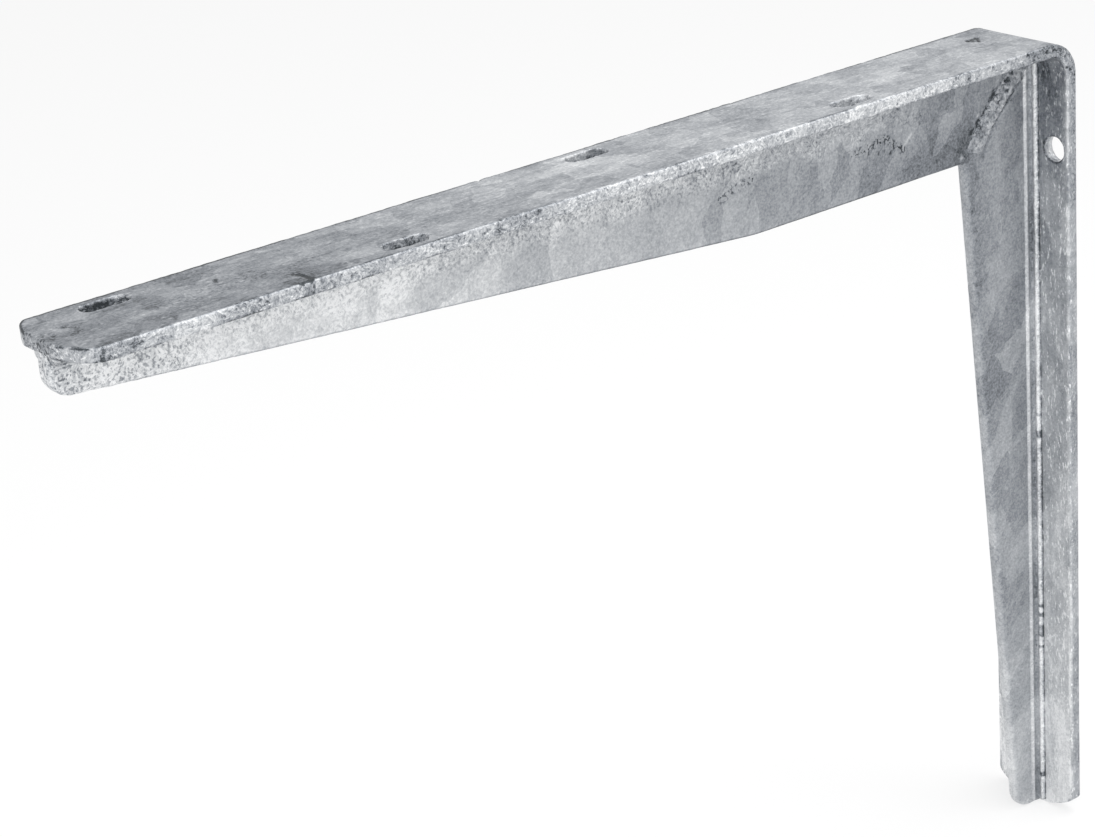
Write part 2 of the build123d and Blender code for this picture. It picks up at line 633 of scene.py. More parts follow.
@dataclass
class Piece:
    """What every piece of the bracket shares: its limits, its skin, its line and its making.

    Args:
        low: Lowest corner of the real size, in millimetres.
        high: Highest corner.
        skin: Unevenness of its surface.
        course: Line of the flange.
    """

    low: Points
    high: Points
    skin: ZincSkin
    course: Course

    def finish(self, name: str, shell: Shell, look: Look) -> bpy.types.Object:
        """Weld the shell, raise its skin, keep it inside the real size and make the object.

        The mesh carries four attributes for the material: crust, tone, pores, and strip, which
        is each point's place along the course, across it and below it, in metres.

        Args:
            name: Name of the piece.
            shell: The piece's grids.
            look: Function that gives the roughness and the tone of each point, both from 0 to 1.

        Returns:
            The piece, riding on the body and standing for the node.
        """
        points, quads = shell.welded()
        quads = outward(points, quads)
        crust, tone = look(points)
        normals = point_normals(points, quads)
        height, stain = self.skin.relief(points, crust)
        strip = self.course.locate(points) * MM
        points = np.clip(points + normals * height[:, None], self.low, self.high)
        made = make_object(name, points, quads)
        attributes = made.data.attributes
        for attribute, values in zip(ATTRIBUTES, (crust, tone - stain, self.skin.pores(points))):
            attributes.new(attribute, "FLOAT", "POINT").data.foreach_set("value", values.astype(np.float32))
        places = attributes.new(PLACE_ATTRIBUTE, "FLOAT_VECTOR", "POINT")
        places.data.foreach_set("vector", strip.astype(np.float32).ravel())
        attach(made, BODY)
        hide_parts(NODE)
        log.info("%s: %d points, %d faces", name, len(points), len(quads))
        return made


@dataclass(frozen=True)
class CornerCut:
    """The piece cut off a flange corner, with a slightly bowed cut.

    Args:
        length: How long the cut is along the strip.
        end: Distance from the centre plane at which it meets the strip's end.
        bulge: How far it bows out towards the corner.
    """

    length: float
    end: float
    bulge: float = 1.2

    def half_at(self, to_end: Points, full: float) -> Points:
        """Give the strip's half width near its end.

        The straight cut rises from end to full over its length, and a parabola adds the bow.

        Args:
            to_end: Distances from the strip's end.
            full: The strip's full half width.

        Returns:
            Half widths, of the shape of to_end.
        """
        share = np.clip(to_end / self.length, 0.0, 1.0)
        rise = full - self.end
        bow = self.bulge * np.hypot(self.length, rise) / self.length
        return np.minimum(self.end + rise * share + 4.0 * bow * share * (1.0 - share), full)


@dataclass
class Flange(Piece):
    """The flange: one flat strip with cut corners, bent at the top of the leg.

    Args:
        openings: Slots and wall holes.
        tip_cuts: Corner cuts at the tip, by side.
        foot_cuts: Corner cuts at the foot, by side.
        half_width: Half of its width.
        thickness: Thickness of the strip.
        inset: How far the outer faces lie inside the real size, which leaves room for lumps.
        edge_radius: Rounding of the long edges.
        least_radius: Rounding that is left at the two ends.
        end_radius: Rounding of the two cut ends.
        step: Spacing of the sections.
        end_step: Spacing of the sections within end_reach of the tip and the foot.
        end_reach: Length of those closely spaced stretches.
        lines: Distances of the faces' lines from the centre plane.
        outer_tones: Tone of the shelf and wall face at places along the course, partly the zinc's own
            and partly painted light, lighter or darker as the light falls on it.
        inner_tones: Tone of the opposite face, with painted light that makes the leg lighter towards
            the foot.
        edge_tones: Tone of the two long edges, partly the zinc's own and partly painted light.
        edge_crust: Roughness of the two long edges.
        upper_line: How much darker the broken line beside the outer face's arrises is.
        painted_lower_arris_lines: The same for the inner face's arrises, as painted shade, negative where a
            painted highlight makes them bright.
    """

    openings: tuple[Opening, ...]
    tip_cuts: dict[Side, CornerCut]
    foot_cuts: dict[Side, CornerCut]
    half_width: float = 20.0
    thickness: float = 5.0
    inset: float = 0.2
    edge_radius: float = 0.9
    least_radius: float = 0.4
    end_radius: float = 0.8
    step: float = 0.64
    end_step: float = 0.36
    end_reach: float = 10.0
    lines: tuple[float, ...] = (0.8, 2.4, 4.0, 5.5, 7.0, 8.7, 10.4, 12.1, 13.8, 15.4, 16.9, 18.1, 19.0)
    # Tone tables: partly the zinc's own tone, partly painted light along the course.
    outer_tones: Stops = (
        (0.0, 0.25), (60.0, 0.26), (110.0, 0.33), (180.0, 0.46), (330.0, 0.45), (411.0, 0.37))
    inner_tones: Stops = (
        (0.0, 0.33), (400.0, 0.28), (440.0, 0.29), (470.0, 0.45), (560.0, 0.55), (720.0, 0.79))
    edge_tones: Stops = (
        (0.0, 0.44), (120.0, 0.44), (300.0, 0.6), (345.0, 0.58), (400.0, 0.33), (450.0, 0.32), (560.0, 0.38))
    edge_crust: Stops = ((0.0, 1.0), (330.0, 1.0), (375.0, 0.5), (410.0, 0.7), (450.0, 0.25), (720.0, 0.2))
    upper_line: float = 0.3
    painted_lower_arris_lines: Stops = ((0.0, 0.4), (350.0, 0.4), (400.0, 0.1), (425.0, -0.3), (720.0, -0.3))

    @property
    def face_lines(self) -> Points:
        """Lines of a face from the far to the near side."""
        half = np.array(self.lines)
        return np.concatenate([-half[::-1], half])

    def half_at(self, along: Points, side: Side) -> Points:
        """Give the half width along the strip on one side, less the cut corners."""
        full = self.half_width - self.inset
        at_tip = self.tip_cuts[side].half_at(along - self.inset, full)
        to_foot = self.course.length - self.inset - along
        return np.minimum(at_tip, self.foot_cuts[side].half_at(to_foot, full))

    def section(self, near: Points, far: Points, shrink: Points) -> tuple[Points, Points]:
        """Work out the rounded rectangles of the sections.

        Each runs over the outer face, down the near edge, back over the inner face and up the
        far edge. Quarter circles round its corners.

        Args:
            near: Half width of each section on the near side, shape (n, 1).
            far: The same on the far side.
            shrink: How far each section is drawn in all round, shape (n, 1).

        Returns:
            Distances across and depths, each of shape (n, columns).
        """
        radius = np.maximum(self.edge_radius - shrink, self.least_radius)
        near, far = near - shrink, far - shrink
        top = self.inset + shrink
        bottom = self.thickness - shrink
        share = self.face_lines / max(self.lines)
        face = np.where(share > 0.0, near - radius, far - radius) * share
        turn = np.linspace(0.0, QUARTER, 5)[1:]
        middle = np.linspace(0.0, 1.0, 5)[1:-1]
        turned_in = radius * (1.0 - np.sin(turn))
        from_edge = np.hstack([turned_in, 0.0 * radius + 0.0 * middle, turned_in[:, ::-1]])
        edge_depth = np.hstack([
            top + radius * (1.0 - np.cos(turn)),
            top + radius + (bottom - top - 2.0 * radius) * middle,
            bottom - radius * (1.0 - np.cos(turn[::-1])),
        ])
        across = np.hstack([face, near - from_edge, face[:, ::-1], from_edge[:, ::-1] - far])
        depth = np.hstack([top + 0.0 * face, edge_depth, bottom + 0.0 * face, edge_depth[:, ::-1]])
        return across, depth

    def stations(self) -> tuple[Points, Points, Points]:
        """Place the sections: folded to a line at each end, then rounded, close, and even.

        Returns:
            Distance along, shrink, and the share of the thickness that is left, each (n, 1).
        """
        turn = np.linspace(0.0, QUARTER, 5)
        length = self.course.length
        rounding = self.inset + self.end_radius * (1.0 - np.cos(turn))
        drawn_in = self.end_radius * (1.0 - np.sin(turn))
        close = np.arange(rounding[-1] + self.end_step, self.end_reach, self.end_step)
        count = int((length - 2.0 * self.end_reach) / self.step)
        even = np.linspace(self.end_reach, length - self.end_reach, count + 1)
        fold = np.array([0.0, 0.3, 0.7])
        start = np.concatenate([np.full(len(fold), self.inset), rounding, close])
        drawn = np.concatenate([np.full(len(fold), self.end_radius), drawn_in, 0.0 * close])
        full = np.ones(len(rounding) + len(close))
        along = np.concatenate([start, even, length - start[::-1]])
        shrink = np.concatenate([drawn, 0.0 * even, drawn[::-1]])
        thick = np.concatenate([fold, full, 0.0 * even + 1.0, full, fold[::-1]])
        return along[:, None], shrink[:, None], thick[:, None]

    def build(self) -> bpy.types.Object:
        """Make the strip, leave out the cells of the openings' patches and ring those in."""
        along, shrink, thick = self.stations()
        across, depth = self.section(self.half_at(along, Side.NEAR), self.half_at(along, Side.FAR), shrink)
        middle = (self.inset + self.thickness) / 2.0
        depth = middle + (depth - middle) * thick
        grid = self.course.place(along, across, depth)
        inner = across.shape[1] // 2 + len(self.face_lines) - 1
        keep = np.ones((grid.shape[0] - 1, grid.shape[1]), dtype=bool)
        shell = Shell()
        for opening in self.openings:
            reach = opening.length / 2.0 + opening.margin
            first, last = np.searchsorted(along[:, 0], [opening.along - reach, opening.along + reach])
            low, high = np.searchsorted(self.face_lines, np.array(opening.lines) - 0.01)
            keep[first:last, low:high] = False
            keep[first:last, inner - high:inner - low] = False
            rows = np.arange(first, last)
            columns = np.arange(low, high)
            loop_row = np.concatenate([rows, 0 * columns + last, rows[::-1] + 1, 0 * columns + first])
            loop_column = np.concatenate([0 * rows + low, columns, 0 * rows + high, columns[::-1] + 1])
            border = np.stack([along[loop_row, 0], across[loop_row, loop_column]], axis=1)
            top, bottom = depth[first, low], depth[first, inner - low]
            shell.add(opening.rings(self.course, border[::-1], top, bottom), wrap=True)
        shell.add(grid, keep, wrap=True)
        return self.finish("flange", shell, self.look)

    def look(self, points: Points) -> tuple[Points, Points]:
        """Rate roughness and tone: crusty edges, ends and openings, faces by their place, partly painted
        light.
        """
        base_crust, end_crust, face_cloud, rim_shade, far_shade = 0.1, 0.8, 0.11, 0.35, 0.45
        along, across, depth = self.course.locate(points).T
        near, far = self.half_at(along, Side.NEAR), self.half_at(along, Side.FAR)
        to_edge = np.where(across > 0.0, near, far) - np.abs(across)
        stretched = np.stack([along / 2.6, across, depth], axis=1)
        ragged = 1.6 * np.maximum(cloud(stretched, 4.0, Seed.RAGGED_EDGE) + 0.15, 0.0)
        ragged *= smooth_step(60.0, 130.0, along)
        on_edge = smooth_step(1.0, 0.3, to_edge - ragged)
        to_end = np.minimum(along, self.course.length - along)
        crust = on_edge * stops_at(self.edge_crust, along) + base_crust
        crust = np.maximum(crust, end_crust * smooth_step(2.5, 0.4, to_end))
        # Painted shade on the openings' inner walls and in a dark ring round their rims; a negative shade
        # paints a wall brighter.
        shade = np.zeros(len(points))
        in_wall = smooth_step(0.7, 1.3, depth) * smooth_step(4.7, 4.3, depth)
        for opening in self.openings:
            line = (opening.length - opening.width) / 2.0
            beside = np.maximum(np.abs(along - opening.along) - line, 0.0)
            distance = np.hypot(beside, across - opening.across) - opening.width / 2.0
            crust = np.maximum(crust, opening.crust * smooth_step(1.4, 0.2, distance))
            ring = bump_at(0.25, 0.35, distance) * smooth_step(2.6, 3.2, depth)
            shade += smooth_step(1.6, 1.3, distance) * in_wall * opening.shade + rim_shade * ring
        crust *= 0.85 + 0.4 * cloud(points, 11.0, Seed.FLANGE_CRUST)
        inner = smooth_step(0.3, 0.7, depth / self.thickness)
        # The face tones are partly the zinc's own and partly painted light.
        outer_tone, inner_tone = stops_at(self.outer_tones, along), stops_at(self.inner_tones, along)
        face_tone = outer_tone + (inner_tone - outer_tone) * inner
        face_tone += face_cloud * cloud(stretched, 9.0, Seed.FLANGE_TONE)
        tone = face_tone + on_edge * (stops_at(self.edge_tones, along) - face_tone)
        broken = smooth_step(-0.3, 0.4, cloud(stretched, 4.0, Seed.BROKEN_LINE))
        upper_line = bump_at(0.7, 0.45, to_edge) * smooth_step(1.2, 0.4, depth)
        # Painted shade along the inner face's arrises on the arm, and a painted highlight on them down the
        # leg.
        lower_line = smooth_step(1.5, 0.9, to_edge) * smooth_step(1.1, 0.4, self.thickness - depth)
        tone -= broken * (self.upper_line * upper_line + stops_at(self.painted_lower_arris_lines, along) * lower_line)
        # Painted shade along the far edge beside the outer face.
        tone -= far_shade * smooth_step(2.0, 0.9, to_edge) * (across < 0.0) * smooth_step(1.5, 0.8, depth)
        return np.clip(crust, 0.0, 1.0), tone - shade


@dataclass
class Web(Piece):
    """The web: a plate with a rounded free edge, under the arm and in front of the leg.

    Args:
        outline: Corners of the free edge as (x, z), from the tip to the foot.
        radii: Rounding radius of each of those corners.
        half: Half thickness of the plate.
        root: Depth of the hidden root, inside the flange.
        edge_radius: Rounding of the free edge.
        rows: Count of rows between the root and the free edge, on each face.
        counts: Count of sections in the nose, the arm, the corner, the leg and the toe.
        pool: How much zinc pooled on the far side of the nose.
        tones_with_painted_light: Tone at places along the course, partly the zinc's own and partly painted
            light:
            brighter near the tip and the foot, darkest at the inner corner.
        crusts: Roughness at places along the course.
    """

    outline: Pairs
    radii: tuple[float, ...]
    half: float = 2.45
    root: float = 4.0
    edge_radius: float = 1.8
    rows: int = 34
    counts: tuple[int, ...] = (26, 520, 84, 390, 36)
    pool: float = 1.6
    tones_with_painted_light: Stops = ((0.0, 0.5), (12.0, 0.74), (60.0, 0.76), (110.0, 0.73), (180.0, 0.56), (250.0, 0.46),
                    (300.0, 0.33), (370.0, 0.29), (420.0, 0.37), (620.0, 0.38), (720.0, 0.56))
    crusts: Stops = ((0.0, 1.0), (30.0, 0.8), (70.0, 0.5), (170.0, 0.3), (250.0, 0.12), (720.0, 0.12))

    def free_edge(self) -> tuple[Points, Points]:
        """Round the outline's corners with arcs between their tangent points.

        A corner's arc starts and ends at radius / tan(half the inner angle) from it.

        Returns:
            Points of the free edge, shape (n, 2), and the length at each corner's two arc ends.
        """
        corners = np.array(self.outline)
        path = [corners[:1]]
        ends: list[tuple[int, int]] = []
        count = 1
        for before, corner, after, radius in zip(corners, corners[1:], corners[2:], self.radii):
            back = (before - corner) / np.linalg.norm(before - corner)
            ahead = (after - corner) / np.linalg.norm(after - corner)
            half_angle = np.arccos(np.clip(back @ ahead, -1.0, 1.0)) / 2.0
            bisector = (back + ahead) / np.linalg.norm(back + ahead)
            centre = corner + bisector * radius / np.sin(half_angle)
            start = corner + back * radius / np.tan(half_angle) - centre
            stop = corner + ahead * radius / np.tan(half_angle) - centre
            share = np.linspace(0.0, 1.0, 25)[:, None]
            sweep = np.pi - 2.0 * half_angle
            arc = (np.sin((1.0 - share) * sweep) * start + np.sin(share * sweep) * stop) / np.sin(sweep)
            path.append(centre + arc)
            ends.append((count, count + len(arc) - 1))
            count += len(arc)
        path.append(corners[-1:])
        edge = np.concatenate(path)
        length = np.concatenate([[0.0], np.cumsum(np.linalg.norm(np.diff(edge, axis=0), axis=1))])
        return np.column_stack([edge, length]), length[np.array(ends)]

    def sections(self) -> tuple[Points, Points, Points]:
        """Pair each place on the free edge with a place on the root.

        Along the straights both move together. At the inner corner the root goes round the
        bend while the free edge stays at its small arc, so the sections open like a fan.

        Returns:
            Root points and free edge points as (x, z), and the free edge's outward normals.
        """
        edge, ends = self.free_edge()
        nose, corner, toe = ends[0], ends[2], ends[-1]
        toe_lead, end_gap, near_by = 6.0, 1.2, 0.3

        def spots(length: Points) -> Points:
            """Give the free edge's points (x, z) at some lengths along it."""
            return np.stack([np.interp(length, edge[:, 2], edge[:, k]) for k in (0, 1)], axis=-1)

        edge_stops = [0.0, nose[1], corner[0], corner[1], toe[0] - toe_lead, edge[-1, 2]]
        x, z = spots(np.array(edge_stops)).T
        root_stops = [end_gap, *(self.course.reach - x[1:3]), *(self.course.along_leg(z[3:5])),
                      self.course.length - end_gap]
        at_edge, at_root = [], []
        for k, count in enumerate(self.counts):
            share = np.linspace(0.0, 1.0, count, endpoint=k == len(self.counts) - 1)
            at_edge.append(edge_stops[k] + share * (edge_stops[k + 1] - edge_stops[k]))
            at_root.append(root_stops[k] + share * (root_stops[k + 1] - root_stops[k]))
        at_edge, at_root = np.concatenate(at_edge), np.concatenate(at_root)
        tangent = spots(at_edge + near_by) - spots(at_edge - near_by)
        tangent /= np.linalg.norm(tangent, axis=1, keepdims=True)
        normal = np.stack([-tangent[:, 1], tangent[:, 0]], axis=1)
        root = self.course.place(at_root, 0.0, self.root)[:, [0, 2]]
        return root, spots(at_edge), normal

    def build(self) -> bpy.types.Object:
        """Make the plate: near face, rounded free edge and far face, folded shut at both ends."""
        root, free, normal = self.sections()
        inner = free - normal * self.edge_radius
        share = np.linspace(0.0, 1.0, self.rows)
        face = root[:, None] + (inner - root)[:, None] * share[:, None]
        turn = np.linspace(0.0, QUARTER, 5)[1:]
        across_edge = self.half - self.edge_radius + self.edge_radius * np.cos(turn)
        rim = inner[:, None] + normal[:, None] * (self.edge_radius * np.sin(turn))[:, None]
        flat = np.concatenate([face, rim, rim[:, ::-1], face[:, ::-1]], axis=1)
        half_loop = np.concatenate([np.full(self.rows, self.half), across_edge])
        across = np.concatenate([half_loop, -half_loop[::-1]])
        pooled = self.pool * smooth_step(10.0, 2.0, self.course.reach - flat[:, :, 0])
        across = np.where(across < 0.0, across - pooled, across)
        flat = np.concatenate([flat[:1], flat, flat[-1:]])
        across = np.concatenate([0.0 * across[:1], across, 0.0 * across[-1:]])
        grid = np.stack([flat[:, :, 0], across, flat[:, :, 1]], axis=-1)
        shell = Shell()
        shell.add(grid, wrap=True)
        return self.finish("web", shell, self.look)

    def look(self, points: Points) -> tuple[Points, Points]:
        """Rate roughness and tone: crusty at the tip and below the flange, painted shade at the corner."""
        below_crust, rim_crust, face_cloud = 0.9, 0.3, 0.07
        corner_shade, below_light, rim_light, underside_shade = 0.16, 0.1, 0.14, 0.45
        along, across, depth = self.course.locate(points).T
        on_arm = smooth_step(360.0, 320.0, along)
        ragged = depth + 7.0 * cloud(points, 9.0, Seed.BELOW_FLANGE)
        below_flange = below_crust * on_arm * smooth_step(22.0, 15.0, ragged)
        rim = smooth_step(2.3, 1.6, np.abs(across))
        crust = np.maximum(np.maximum(stops_at(self.crusts, along), rim_crust * rim), below_flange)
        crust = np.clip(crust * (0.85 + 0.5 * cloud(points, 8.0, Seed.WEB_CRUST)), 0.0, 1.0)
        # Painted shade in the inner corner; the tones along the course are partly painted light.
        corner = smooth_step(130.0, 45.0, points[:, 0]) * smooth_step(20.0, 38.0, depth)
        tone = stops_at(self.tones_with_painted_light, along) - corner_shade * corner
        tone += face_cloud * cloud(points, 15.0, Seed.WEB_TONE)
        # Painted shade on the free edge's rounding under the arm.
        underside = smooth_step(2.3, 1.7, np.abs(across)) * on_arm * smooth_step(14.0, 30.0, along)
        tone += below_light * below_flange + rim_light * rim * (1.0 - on_arm) - underside_shade * underside
        return crust, tone


@dataclass
class RootRidge(Piece):
    """The two zinc ridges and the groove between them where the web meets the flange.

    Args:
        side: Side of the web.
        profile: Surface points as (depth, distance across), from the web to the flange.
        tones_with_painted_light: Painted highlights on the two ridges and painted shade in the groove and the
            crease, at places over the profile, measured as distance across less depth.
        hidden: Point inside the metal that closes the profile.
        pool: How much the profile grows at the tip, where zinc pooled.
        taper: Length over which the profile sinks into the metal at both ends.
        step: Spacing of the sections.
        bead: Length of the small beads along the ridge on the flange.
        bead_height: How much they rise and fall, and sway how much they stray sideways.
        end_gap: Distance of the ridge's ends from the tip and the foot.
    """

    side: Side
    profile: Pairs = (
        (10.2, 2.2), (9.6, 2.55), (9.2, 2.95), (8.75, 3.15), (8.3, 3.05), (7.95, 2.8), (7.5, 2.62),
        (7.1, 2.65), (6.75, 2.8), (6.4, 3.1), (6.2, 3.45), (6.3, 3.85), (6.5, 4.2), (6.55, 4.6),
        (6.35, 5.0), (5.9, 5.4), (5.2, 5.6), (4.5, 5.9))
    tones_with_painted_light: Stops = (
        (-8.0, 0.45), (-6.9, 0.55), (-6.1, 0.66), (-5.5, 0.62), (-5.0, 0.42), (-4.4, 0.28), (-3.9, 0.2),
        (-3.3, 0.19), (-2.8, 0.39), (-2.3, 0.69), (-1.3, 0.76), (-0.5, 0.57), (0.0, 0.1), (0.5, 0.0))
    hidden: tuple[float, float] = (3.6, 1.6)
    pool: float = 0.0
    taper: float = 1.2
    step: float = 0.6
    bead: float = 2.0
    bead_height: float = 0.3
    sway: float = 0.25
    end_gap: float = 0.7

    def build(self) -> bpy.types.Object:
        """Carry the profile along the course, bead its flange ridge, and sink its ends."""
        last = self.course.length - self.end_gap
        along = np.linspace(self.end_gap, last, int(self.course.length / self.step))
        loop = np.array(self.profile + (self.hidden,))
        path = np.stack([along, 0.0 * along + 7.0 * self.side.value, 0.0 * along], axis=1)
        to_end = np.minimum(along - along[0], along[-1] - along)
        pooled = 1.0 + self.pool * smooth_step(9.0, 0.0, along)
        size = (smooth_step(-1.0, self.taper, to_end) * pooled)[:, None]
        beads = self.bead_height * cloud(path, self.bead, Seed.BEADS, 2)[:, None]
        sway = self.sway * noise(path, 3.0 * self.bead, Seed.SWAY)[:, None]
        on_ridge = bump_at(4.6, 0.8, loop[:, 1])
        depth = self.hidden[0] + (loop[:, 0] - self.hidden[0]) * size + on_ridge * beads * size
        across = self.hidden[1] + (loop[:, 1] - self.hidden[1]) * size + on_ridge * sway * size
        depth, across = (
            np.concatenate([0.0 * rows[:1] + rows[0].mean(), rows, 0.0 * rows[-1:] + rows[-1].mean()])
            for rows in (depth, across)
        )
        along = np.concatenate([along[:1], along, along[-1:]])
        shell = Shell()
        shell.add(self.course.place(along[:, None], self.side.value * across, depth), wrap=True)
        return self.finish(f"root_ridge_{self.side.name.lower()}", shell, self.look)

    def look(self, points: Points) -> tuple[Points, Points]:
        """Rate roughness and tone: painted highlights on the ridges, painted shade in the groove and the
        crease.
        """
        base_crust, bead_crust, wander, tip_tone, notch_shade = 0.3, 0.4, 0.12, 0.6, 0.5
        along, across, depth = self.course.locate(points).T
        line = np.stack([along, 0.0 * along, 0.0 * along], axis=1)
        # Painted highlights on the two ridges and painted shade in the groove and the crease, by place over
        # the profile.
        tone = stops_at(self.tones_with_painted_light, np.abs(across) - depth) + wander * noise(line, 30.0, Seed.RIDGE_TONE)
        tone += (tip_tone - tone) * smooth_step(14.0, 6.0, along)
        on_bead = smooth_step(3.5, 4.2, np.abs(across)) * smooth_step(6.0, 14.0, along)
        notches = smooth_step(0.35, 0.6, noise(line, 1.8, Seed.NOTCHES))
        notches *= smooth_step(-0.2, 0.3, noise(line, 25.0, Seed.NOTCH_GROUPS))
        return base_crust + bead_crust * on_bead, tone - notch_shade * notches * on_bead


@dataclass
class WeldBead(Piece):
    """The weld on the mitre: one lumpy run on each face of the web, joined through it.

    Args:
        leg_side: Border of the run towards the leg, from the bend down, as (x, depth below the
            shelf face).
        arm_side: Border towards the arm.
        half_web: Half thickness of the web.
        height: Height of the run over the web's face.
        lump_size: Size of its lumps, and lump_height their height.
        ripple: Spacing of the crescents that the weld froze in, and ripple_height their height.
        rows: Count of sections.
        columns: Count of points across each run.
        sunk: How far the run's borders lie below the web's face.
        apart: Shift of the pattern of lumps between the two faces.
    """

    leg_side: Pairs = (
        (7.0, 11.0), (13.5, 18.5), (20.6, 24.6), (27.0, 32.0), (32.0, 41.0))
    arm_side: Pairs = (
        (12.5, 6.0), (20.5, 14.0), (28.0, 21.5), (35.5, 30.0), (42.0, 39.0))
    half_web: float = 2.45
    height: float = 0.8
    lump_size: float = 3.0
    lump_height: float = 0.75
    ripple: float = 2.6
    ripple_height: float = 0.12
    rows: int = 110
    columns: int = 41
    sunk: float = 0.45
    apart: float = 30.0

    def border(self, side: Pairs) -> Points:
        """Run a cubic through a border's points, fitted by least squares.

        Args:
            side: Points as (x, depth below the shelf face).

        Returns:
            Points as (x, z), shape (rows, 2).
        """
        stops, values = np.linspace(0.0, 1.0, len(side)), np.array(side)
        share = np.linspace(0.0, 1.0, self.rows)
        x, depth = (np.polyval(np.polyfit(stops, values[:, k], 3), share) for k in (0, 1))
        return np.stack([x, self.course.drop / 2.0 - depth], axis=1)

    def build(self) -> bpy.types.Object:
        """Lay an arch over both faces, steep towards the leg, that sinks into the inner corner.

        The arch is (1 - offset^10) on the leg's half and (1 - offset^2.5) on the arm's half.
        """
        leg, arm = self.border(self.leg_side), self.border(self.arm_side)
        share = np.linspace(0.0, 1.0, self.rows)[:, None]
        offset = np.linspace(-1.0, 1.0, self.columns)
        flat = leg[:, None] + (arm - leg)[:, None] * ((offset + 1.0) / 2.0)[:, None]
        arch = (1.0 - np.maximum(-offset, 0.0) ** 10) * (1.0 - np.maximum(offset, 0.0) ** 2.5)
        arch = arch * smooth_step(0.0, 0.05, share) * smooth_step(1.0, 0.85, share)
        length = np.linalg.norm(leg[-1] - leg[0])
        crescents = np.sin(2.0 * np.pi * (length * share + 2.0 * offset**2) / self.ripple)
        place = np.stack([flat[:, :, 0], 0.0 * flat[:, :, 0], flat[:, :, 1]], axis=-1).reshape(-1, 3)
        grid = []
        for side in Side:
            lumps = cloud(place + self.apart * side.value, self.lump_size, Seed.WELD_LUMPS)
            lumps = self.lump_height * lumps.reshape(arch.shape)
            over = self.height + self.sunk + lumps + self.ripple_height * crescents
            rise = arch * over - self.sunk
            face = np.stack([flat[:, :, 0], side.value * (self.half_web + rise), flat[:, :, 1]], axis=-1)
            grid.append(face[:, ::side.value])
        grid = np.concatenate(grid, axis=1)
        folded = grid * np.array([1.0, 0.0, 1.0])
        shell = Shell()
        shell.add(np.concatenate([folded[:1], grid, folded[-1:]]), wrap=True)
        return self.finish("weld_bead", shell, self.look)

    def look(self, points: Points) -> tuple[Points, Points]:
        """Rate roughness and tone: crusty above the web's face, calmer and with painted shade at the inner
        corner.
        """
        full_crust, calm_loss, middle, calm_shade, mottle = 0.75, 0.6, 0.4, 0.1, 0.3
        crust = full_crust * smooth_step(self.half_web - 0.3, self.half_web + 0.5, np.abs(points[:, 1]))
        # Painted shade, and calmer zinc, towards the inner corner.
        calm = smooth_step(24.0, 38.0, points[:, 0])
        tone = middle - calm_shade * calm + mottle * cloud(points, 2.2, Seed.WELD_TONE)
        return crust * (1.0 - calm_loss * calm), tone


def linear(colour: str) -> tuple[float, float, float, float]:
    """Turn an sRGB hex colour into linear red, green, blue and alpha."""
    shares = [int(colour[k:k + 2], 16) / 255.0 for k in (1, 3, 5)]
    red, green, blue = (c / 12.92 if c <= 0.04045 else ((c + 0.055) / 1.055) ** 2.4 for c in shares)
    return (red, green, blue, 1.0)


def add_node(tree: bpy.types.NodeTree, kind: str, inputs: dict, out: int | str = 0, **settings: object
             ) -> bpy.types.NodeSocket | None:
    """Add a node, set its properties, and fill or link its inputs.

    Args:
        tree: Node tree that gets the node.
        kind: Name of the node type, without its common prefix.
        inputs: Input names or numbers, each with a value or the output socket to link.
        out: Name or number of the output that is wanted.
        **settings: The node's properties.

    Returns:
        The wanted output, through which the node's others are found, or None if it has none.
    """
    node = tree.nodes.new(f"ShaderNode{kind}")
    for name, value in settings.items():
        setattr(node, name, value)
    for name, value in inputs.items():
        if isinstance(value, bpy.types.NodeSocket):
            tree.links.new(value, node.inputs[name])
        else:
            node.inputs[name].default_value = value
    return node.outputs[out] if node.outputs else None


def bare_material(name: str) -> bpy.types.Material:
    """Make a material with an empty node tree."""
    made = bpy.data.materials.new(name)
    made.use_nodes = True
    made.node_tree.nodes.clear()
    return made


def add_weighted(tree: bpy.types.NodeTree, total: Signal, patterns: Iterable[tuple[Signal, float]]) -> Signal:
    """Add each pattern times its weight to a total, by one node for each.

    Args:
        tree: Node tree that gets the nodes.
        total: Value or output to start from.
        patterns: Outputs and their weights.

    Returns:
        The output with the sum.
    """
    for pattern, weight in patterns:
        total = add_node(tree, "Math", {0: pattern, 1: weight, 2: total}, operation="MULTIPLY_ADD")
    return total


@dataclass(frozen=True)
class Noise:
    """Settings of one noise pattern.

    Args:
        size: Size of its cells, in millimetres.
        detail: How many finer layers it has.
        roughness: Strength of the finer layers.
        distortion: How far it is warped.
        clip: Part of its range that is spread smoothly over 0 to 1; None for all of it.
    """

    size: float
    detail: float = 2.0
    roughness: float = 0.5
    distortion: float = 0.0
    clip: tuple[float, float] | None = None

    def output(self, tree: bpy.types.NodeTree, vector: bpy.types.NodeSocket, out: str = "Fac"
               ) -> bpy.types.NodeSocket:
        """Add the pattern's nodes.

        Args:
            tree: Node tree that gets them.
            vector: Output with the place to look up.
            out: Name of the output that is wanted.

        Returns:
            The wanted output, spread over 0 to 1 where the pattern is clipped.
        """
        made = add_node(tree, "TexNoise", {
            "Vector": vector, "Scale": 1.0 / MM / self.size, "Detail": self.detail,
            "Roughness": self.roughness, "Distortion": self.distortion}, out)
        if self.clip is None:
            return made
        low, high = self.clip
        return add_node(tree, "MapRange", {"Value": made, "From Min": low, "From Max": high},
                        interpolation_type="SMOOTHSTEP")


